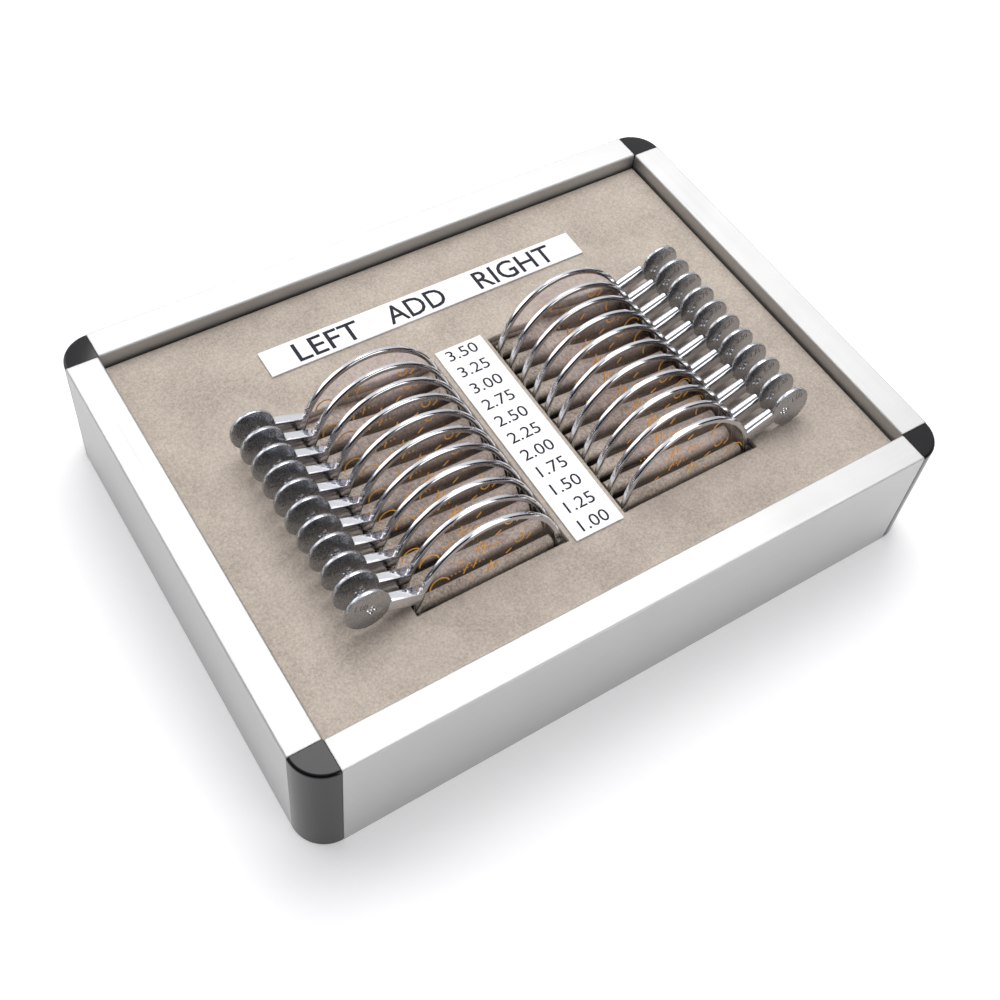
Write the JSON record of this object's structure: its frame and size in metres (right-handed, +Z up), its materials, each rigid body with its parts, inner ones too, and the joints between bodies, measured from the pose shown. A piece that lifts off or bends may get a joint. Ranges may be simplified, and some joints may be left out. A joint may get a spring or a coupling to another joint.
{
  "type": "trial lens case",
  "caption": "Low framed tray with a flocked panel and two wells of slotted racks that hold rows of round trial lenses with handles.",
  "frame": {"origin": "under the middle of the case, on the surface that it stands on", "axes": "+X along the case to the right, +Y from front to back, +Z up"},
  "size_m": [0.172, 0.1274, 0.046],
  "materials": {
    "frame_profile": "satin",
    "corner_plastic": "gloss",
    "base_board": "matte",
    "core_filler": "matte",
    "panel_flock": "matte",
    "rack_flock": "matte",
    "label_sheet": "satin",
    "holder_chrome": "polished",
    "lens_glass": "gloss"
  },
  "bodies": {
    "root": {"profile_front": "frame_profile", "profile_right": "frame_profile", "profile_back": "frame_profile", "profile_left": "frame_profile", "corner_front_left": "corner_plastic", "corner_front_right": "corner_plastic", "corner_back_right": "corner_plastic", "corner_back_left": "corner_plastic", "base_board": "base_board", "core_frame": "core_filler", "insert_panel": "panel_flock", "heading_label": "label_sheet", "scale_label": "label_sheet", "slot_rack_left": "rack_flock", "slot_rack_right": "rack_flock"},
    "left_trial_lens_100": {"left_holder_100": "holder_chrome", "left_lens_100": "lens_glass"},
    "left_trial_lens_125": {"left_holder_125": "holder_chrome", "left_lens_125": "lens_glass"},
    "left_trial_lens_150": {"left_holder_150": "holder_chrome", "left_lens_150": "lens_glass"},
    "left_trial_lens_175": {"left_holder_175": "holder_chrome", "left_lens_175": "lens_glass"},
    "left_trial_lens_200": {"left_holder_200": "holder_chrome", "left_lens_200": "lens_glass"},
    "left_trial_lens_225": {"left_holder_225": "holder_chrome", "left_lens_225": "lens_glass"},
    "left_trial_lens_250": {"left_holder_250": "holder_chrome", "left_lens_250": "lens_glass"},
    "left_trial_lens_275": {"left_holder_275": "holder_chrome", "left_lens_275": "lens_glass"},
    "left_trial_lens_300": {"left_holder_300": "holder_chrome", "left_lens_300": "lens_glass"},
    "left_trial_lens_325": {"left_holder_325": "holder_chrome", "left_lens_325": "lens_glass"},
    "left_trial_lens_350": {"left_holder_350": "holder_chrome", "left_lens_350": "lens_glass"},
    "right_trial_lens_100": {"right_holder_100": "holder_chrome", "right_lens_100": "lens_glass"},
    "right_trial_lens_125": {"right_holder_125": "holder_chrome", "right_lens_125": "lens_glass"},
    "right_trial_lens_150": {"right_holder_150": "holder_chrome", "right_lens_150": "lens_glass"},
    "right_trial_lens_175": {"right_holder_175": "holder_chrome", "right_lens_175": "lens_glass"},
    "right_trial_lens_200": {"right_holder_200": "holder_chrome", "right_lens_200": "lens_glass"},
    "right_trial_lens_225": {"right_holder_225": "holder_chrome", "right_lens_225": "lens_glass"},
    "right_trial_lens_250": {"right_holder_250": "holder_chrome", "right_lens_250": "lens_glass"},
    "right_trial_lens_275": {"right_holder_275": "holder_chrome", "right_lens_275": "lens_glass"},
    "right_trial_lens_300": {"right_holder_300": "holder_chrome", "right_lens_300": "lens_glass"},
    "right_trial_lens_325": {"right_holder_325": "holder_chrome", "right_lens_325": "lens_glass"},
    "right_trial_lens_350": {"right_holder_350": "holder_chrome", "right_lens_350": "lens_glass"}
  },
  "joints": [
    {"name": "left_lift_100", "type": "slide", "parent": "root", "child": "left_trial_lens_100", "axis": [0, 0.1392, 0.9903], "range_m": [0, 0.045]},
    {"name": "left_lift_125", "type": "slide", "parent": "root", "child": "left_trial_lens_125", "axis": [0, 0.1392, 0.9903], "range_m": [0, 0.045]},
    {"name": "left_lift_150", "type": "slide", "parent": "root", "child": "left_trial_lens_150", "axis": [0, 0.1392, 0.9903], "range_m": [0, 0.045]},
    {"name": "left_lift_175", "type": "slide", "parent": "root", "child": "left_trial_lens_175", "axis": [0, 0.1392, 0.9903], "range_m": [0, 0.045]},
    {"name": "left_lift_200", "type": "slide", "parent": "root", "child": "left_trial_lens_200", "axis": [0, 0.1392, 0.9903], "range_m": [0, 0.045]},
    {"name": "left_lift_225", "type": "slide", "parent": "root", "child": "left_trial_lens_225", "axis": [0, 0.1392, 0.9903], "range_m": [0, 0.045]},
    {"name": "left_lift_250", "type": "slide", "parent": "root", "child": "left_trial_lens_250", "axis": [0, 0.1392, 0.9903], "range_m": [0, 0.045]},
    {"name": "left_lift_275", "type": "slide", "parent": "root", "child": "left_trial_lens_275", "axis": [0, 0.1392, 0.9903], "range_m": [0, 0.045]},
    {"name": "left_lift_300", "type": "slide", "parent": "root", "child": "left_trial_lens_300", "axis": [0, 0.1392, 0.9903], "range_m": [0, 0.045]},
    {"name": "left_lift_325", "type": "slide", "parent": "root", "child": "left_trial_lens_325", "axis": [0, 0.1392, 0.9903], "range_m": [0, 0.045]},
    {"name": "left_lift_350", "type": "slide", "parent": "root", "child": "left_trial_lens_350", "axis": [0, 0.1392, 0.9903], "range_m": [0, 0.045]},
    {"name": "right_lift_100", "type": "slide", "parent": "root", "child": "right_trial_lens_100", "axis": [0, 0.1392, 0.9903], "range_m": [0, 0.045]},
    {"name": "right_lift_125", "type": "slide", "parent": "root", "child": "right_trial_lens_125", "axis": [0, 0.1392, 0.9903], "range_m": [0, 0.045]},
    {"name": "right_lift_150", "type": "slide", "parent": "root", "child": "right_trial_lens_150", "axis": [0, 0.1392, 0.9903], "range_m": [0, 0.045]},
    {"name": "right_lift_175", "type": "slide", "parent": "root", "child": "right_trial_lens_175", "axis": [0, 0.1392, 0.9903], "range_m": [0, 0.045]},
    {"name": "right_lift_200", "type": "slide", "parent": "root", "child": "right_trial_lens_200", "axis": [0, 0.1392, 0.9903], "range_m": [0, 0.045]},
    {"name": "right_lift_225", "type": "slide", "parent": "root", "child": "right_trial_lens_225", "axis": [0, 0.1392, 0.9903], "range_m": [0, 0.045]},
    {"name": "right_lift_250", "type": "slide", "parent": "root", "child": "right_trial_lens_250", "axis": [0, 0.1392, 0.9903], "range_m": [0, 0.045]},
    {"name": "right_lift_275", "type": "slide", "parent": "root", "child": "right_trial_lens_275", "axis": [0, 0.1392, 0.9903], "range_m": [0, 0.045]},
    {"name": "right_lift_300", "type": "slide", "parent": "root", "child": "right_trial_lens_300", "axis": [0, 0.1392, 0.9903], "range_m": [0, 0.045]},
    {"name": "right_lift_325", "type": "slide", "parent": "root", "child": "right_trial_lens_325", "axis": [0, 0.1392, 0.9903], "range_m": [0, 0.045]},
    {"name": "right_lift_350", "type": "slide", "parent": "root", "child": "right_trial_lens_350", "axis": [0, 0.1392, 0.9903], "range_m": [0, 0.045]}
  ]
}
